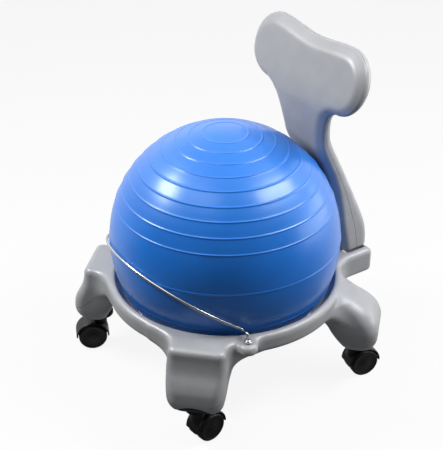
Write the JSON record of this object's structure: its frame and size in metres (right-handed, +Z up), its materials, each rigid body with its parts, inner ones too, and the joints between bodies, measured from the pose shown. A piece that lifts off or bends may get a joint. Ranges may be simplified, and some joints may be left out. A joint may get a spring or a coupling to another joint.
{
  "type": "balance ball chair",
  "caption": "Desk chair with an inflated ball as its seat, held in a moulded ring base on swivel casters, with a wire retainer in front and a lobed backrest behind.",
  "frame": {"origin": "centre of the covered floor area, on the floor under the wheels", "axes": "+Z up, +Y to the backrest behind the sitter, +X to the sitter's left"},
  "size_m": [0.423, 0.46, 0.572],
  "materials": {
    "silver_plastic": "satin silver-grey moulded plastic",
    "ball_vinyl": "glossy blue vinyl with fine raised ribs",
    "plug_plastic": "white plastic",
    "chrome": "bright plated",
    "brass": "turned",
    "steel": "plain zinc plated",
    "black_nylon": "satin black nylon"
  },
  "bodies": {
    "chair_base": {"base_frame": "silver_plastic", "retainer_wire": "chrome", "backrest": "silver_plastic", "retainer_screw_left": "chrome", "retainer_insert_left": "brass", "retainer_screw_right": "chrome", "retainer_insert_right": "brass", "backrest_screw_left": "chrome", "backrest_insert_left": "brass", "backrest_screw_right": "chrome", "backrest_insert_right": "brass", "end_cap_front_left": "black_nylon", "stem_front_left": "steel", "grip_ring_front_left": "steel", "end_cap_front_right": "black_nylon", "stem_front_right": "steel", "grip_ring_front_right": "steel", "end_cap_rear_left": "black_nylon", "stem_rear_left": "steel", "grip_ring_rear_left": "steel", "end_cap_rear_right": "black_nylon", "stem_rear_right": "steel", "grip_ring_rear_right": "steel"},
    "ball_body": {"ball": "ball_vinyl", "ball_plug": "plug_plastic"},
    "swivel_front_left": {"hood_front_left": "black_nylon", "axle_front_left": "steel"},
    "swivel_front_right": {"hood_front_right": "black_nylon", "axle_front_right": "steel"},
    "swivel_rear_left": {"hood_rear_left": "black_nylon", "axle_rear_left": "steel"},
    "swivel_rear_right": {"hood_rear_right": "black_nylon", "axle_rear_right": "steel"},
    "roller_left_front_left": {"wheel_left_front_left": "black_nylon"},
    "roller_right_front_left": {"wheel_right_front_left": "black_nylon"},
    "roller_left_front_right": {"wheel_left_front_right": "black_nylon"},
    "roller_right_front_right": {"wheel_right_front_right": "black_nylon"},
    "roller_left_rear_left": {"wheel_left_rear_left": "black_nylon"},
    "roller_right_rear_left": {"wheel_right_rear_left": "black_nylon"},
    "roller_left_rear_right": {"wheel_left_rear_right": "black_nylon"},
    "roller_right_rear_right": {"wheel_right_rear_right": "black_nylon"}
  },
  "joints": [
    {"name": "ball_turn", "type": "hinge", "parent": "chair_base", "child": "ball_body", "pos_m": [0, -0.02307, 0.253], "axis": [0, 0, 1], "continuous": true},
    {"name": "swivel_turn_front_left", "type": "hinge", "parent": "chair_base", "child": "swivel_front_left", "pos_m": [0.157, -0.18008, 0.055], "axis": [0, 0, 1], "continuous": true},
    {"name": "swivel_turn_front_right", "type": "hinge", "parent": "chair_base", "child": "swivel_front_right", "pos_m": [-0.157, -0.18008, 0.055], "axis": [0, 0, 1], "continuous": true},
    {"name": "swivel_turn_rear_left", "type": "hinge", "parent": "chair_base", "child": "swivel_rear_left", "pos_m": [0.157, 0.13393, 0.055], "axis": [0, 0, 1], "continuous": true},
    {"name": "swivel_turn_rear_right", "type": "hinge", "parent": "chair_base", "child": "swivel_rear_right", "pos_m": [-0.157, 0.13393, 0.055], "axis": [0, 0, 1], "continuous": true},
    {"name": "roll_left_front_left", "type": "hinge", "parent": "swivel_front_left", "child": "roller_left_front_left", "pos_m": [0.15464, -0.16324, 0.025], "axis": [-0.9903, -0.1392, 0], "continuous": true},
    {"name": "roll_right_front_left", "type": "hinge", "parent": "swivel_front_left", "child": "roller_right_front_left", "pos_m": [0.15464, -0.16324, 0.025], "axis": [-0.9903, -0.1392, 0], "continuous": true},
    {"name": "roll_left_front_right", "type": "hinge", "parent": "swivel_front_right", "child": "roller_left_front_right", "pos_m": [-0.16419, -0.19548, 0.025], "axis": [0.9063, -0.4226, 0], "continuous": true},
    {"name": "roll_right_front_right", "type": "hinge", "parent": "swivel_front_right", "child": "roller_right_front_right", "pos_m": [-0.16419, -0.19548, 0.025], "axis": [0.9063, -0.4226, 0], "continuous": true},
    {"name": "roll_left_rear_left", "type": "hinge", "parent": "swivel_rear_left", "child": "roller_left_rear_left", "pos_m": [0.15996, 0.15067, 0.025], "axis": [-0.9848, 0.1736, 0], "continuous": true},
    {"name": "roll_right_rear_left", "type": "hinge", "parent": "swivel_rear_left", "child": "roller_right_rear_left", "pos_m": [0.15996, 0.15067, 0.025], "axis": [-0.9848, 0.1736, 0], "continuous": true},
    {"name": "roll_left_rear_right", "type": "hinge", "parent": "swivel_rear_right", "child": "roller_left_rear_right", "pos_m": [-0.1655, 0.14865, 0.025], "axis": [-0.866, -0.5, 0], "continuous": true},
    {"name": "roll_right_rear_right", "type": "hinge", "parent": "swivel_rear_right", "child": "roller_right_rear_right", "pos_m": [-0.1655, 0.14865, 0.025], "axis": [-0.866, -0.5, 0], "continuous": true}
  ]
}
